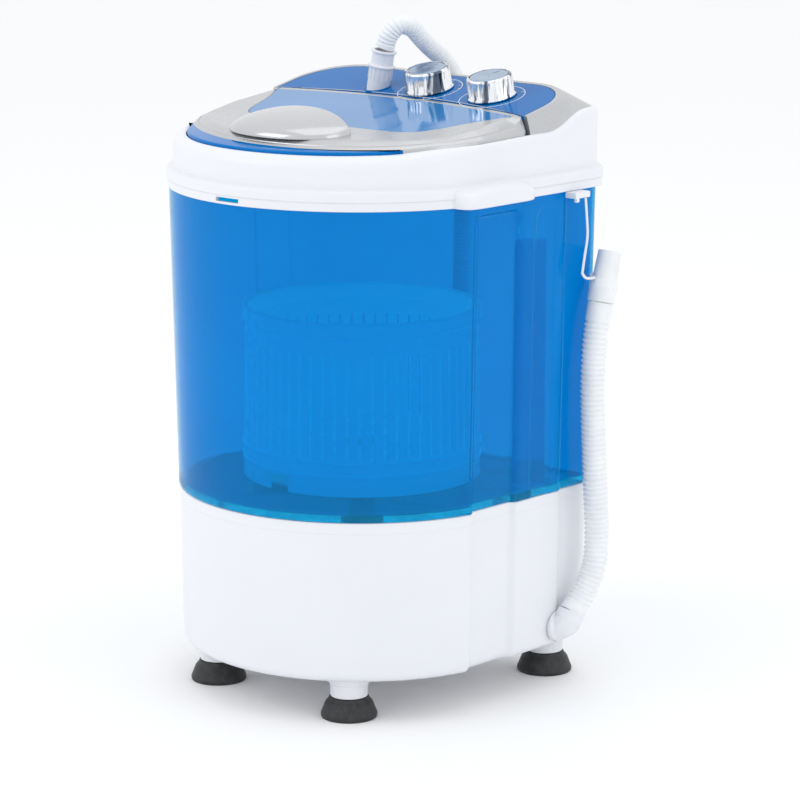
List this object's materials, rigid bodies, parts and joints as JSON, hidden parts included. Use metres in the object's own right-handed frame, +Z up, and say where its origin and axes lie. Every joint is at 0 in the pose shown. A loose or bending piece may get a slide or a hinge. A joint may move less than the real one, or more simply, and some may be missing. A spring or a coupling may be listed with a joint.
{
  "type": "top load washing machine",
  "caption": "Small portable top load washer: translucent tub on a base with suction feet, hinged lid, two control knobs, spin basket, inlet and drain hoses.",
  "frame": {"origin": "on the floor, under the middle of the machine's width and depth", "axes": "+Z up, -Y the front (round side of the tub), +X the side with the drain hose"},
  "size_m": [0.4219, 0.5471, 0.6017],
  "materials": {
    "white_plastic": "satin moulded plastic",
    "clear_blue_plastic": "glossy translucent plastic",
    "basket_plastic": "glossy moulded plastic",
    "silver_plastic": "silver painted plastic",
    "chrome_plate": "bright chrome plate",
    "steel": "plain steel",
    "cast_alloy": "cast alloy",
    "black_rubber": "matt rubber",
    "dark_plastic": "matt moulded plastic",
    "hose_plastic": "flexible corrugated plastic"
  },
  "bodies": {
    "housing": {"base_shell": "white_plastic", "bottom_cover": "white_plastic", "foot_sleeve_front_left": "white_plastic", "foot_sleeve_front_right": "white_plastic", "foot_sleeve_rear_left": "white_plastic", "foot_sleeve_rear_right": "white_plastic", "collar": "white_plastic", "hinge_bracket_left": "white_plastic", "hinge_bracket_right": "white_plastic", "drain_outlet": "white_plastic", "hook_bracket": "white_plastic", "hose_hook": "white_plastic", "inlet_port": "white_plastic", "suction_foot_front_left": "black_rubber", "suction_foot_front_right": "black_rubber", "suction_foot_rear_left": "black_rubber", "suction_foot_rear_right": "black_rubber", "drive_belt": "black_rubber", "shaft_seal": "black_rubber", "tub": "clear_blue_plastic", "overflow_channel": "clear_blue_plastic", "control_panel": "clear_blue_plastic", "tap_connector": "clear_blue_plastic", "panel_surround": "silver_plastic", "motor_bracket": "steel", "bearing_housing": "cast_alloy", "motor_housing": "cast_alloy", "wash_timer": "dark_plastic", "drain_selector": "dark_plastic", "capacitor": "dark_plastic", "cord_gland": "dark_plastic", "drain_pipe": "hose_plastic", "drain_hose": "hose_plastic", "drain_nozzle": "hose_plastic", "inlet_fitting": "hose_plastic", "inlet_hose": "hose_plastic"},
    "lid": {"lid_frame": "silver_plastic", "lid_pane": "clear_blue_plastic", "lid_grip": "silver_plastic", "lid_trim": "clear_blue_plastic", "hinge_pin_left": "steel", "hinge_pin_right": "steel"},
    "timer_dial": {"timer_knob": "chrome_plate", "timer_knob_cap": "silver_plastic", "timer_shaft": "steel"},
    "selector_dial": {"selector_knob": "chrome_plate", "selector_knob_cap": "silver_plastic", "selector_shaft": "steel"},
    "pulsator_drive": {"pulsator": "white_plastic", "drive_shaft": "steel", "pulsator_screw": "steel", "driven_pulley": "dark_plastic"},
    "motor_spindle": {"motor_rotor": "steel", "motor_pulley": "steel"},
    "spin_basket": {"basket": "basket_plastic"}
  },
  "joints": [
    {"name": "lid_hinge", "type": "hinge", "parent": "housing", "child": "lid", "pos_m": [0, 0.047, 0.521], "axis": [-1, 0, 0], "range_deg": [0, 80]},
    {"name": "timer_turn", "type": "hinge", "parent": "housing", "child": "timer_dial", "pos_m": [0.0085, 0.093, 0.53662], "axis": [0, 0.225, -0.9744], "range_deg": [0, 300]},
    {"name": "selector_turn", "type": "hinge", "parent": "housing", "child": "selector_dial", "pos_m": [0.085, 0.092, 0.53639], "axis": [0, 0.225, -0.9744], "range_deg": [0, 90]},
    {"name": "pulsator_spin", "type": "hinge", "parent": "housing", "child": "pulsator_drive", "pos_m": [0, 0.011, 0.2], "axis": [0, 0, 1], "continuous": true},
    {"name": "motor_spin", "type": "hinge", "parent": "housing", "child": "motor_spindle", "pos_m": [0, 0.099, 0.12], "axis": [0, 0, 1], "continuous": true},
    {"name": "basket_lift", "type": "slide", "parent": "pulsator_drive", "child": "spin_basket", "axis": [0, 0, 1], "range_m": [0, 0.12]}
  ],
  "couplings": [
    {"joint": "motor_spin", "follows": "pulsator_spin", "ratio": 3.4667}
  ]
}
